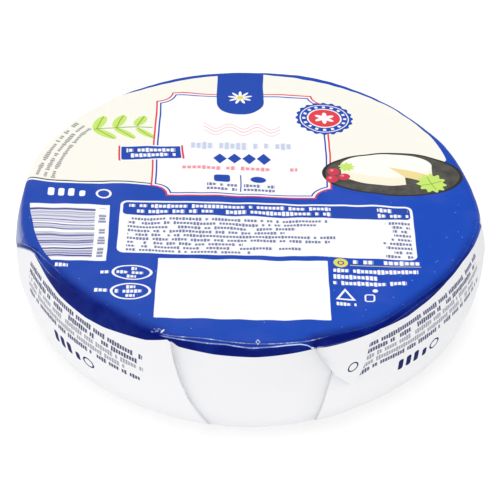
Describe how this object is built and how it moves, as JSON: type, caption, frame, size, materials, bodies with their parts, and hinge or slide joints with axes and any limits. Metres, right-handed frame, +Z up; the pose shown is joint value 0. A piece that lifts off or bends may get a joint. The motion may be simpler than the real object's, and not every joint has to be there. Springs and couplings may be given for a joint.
{
  "type": "brie wheel",
  "caption": "Low round wheel of soft cheese, shut in a folded and pleated printed paper wrap, resting flat on its underside.",
  "frame": {"origin": "middle of the underside, where the wheel rests", "axes": "+Z up through the flat top; the printed top reads from -Y, so -Y is the front, with the blank narrow panel of the side"},
  "size_m": [0.142, 0.1428, 0.0357],
  "materials": {
    "wrap_paper": "satin white coated paper with a semi-gloss blue printed top"
  },
  "bodies": {
    "root": {"wrapped_wheel": "wrap_paper"}
  },
  "joints": []
}
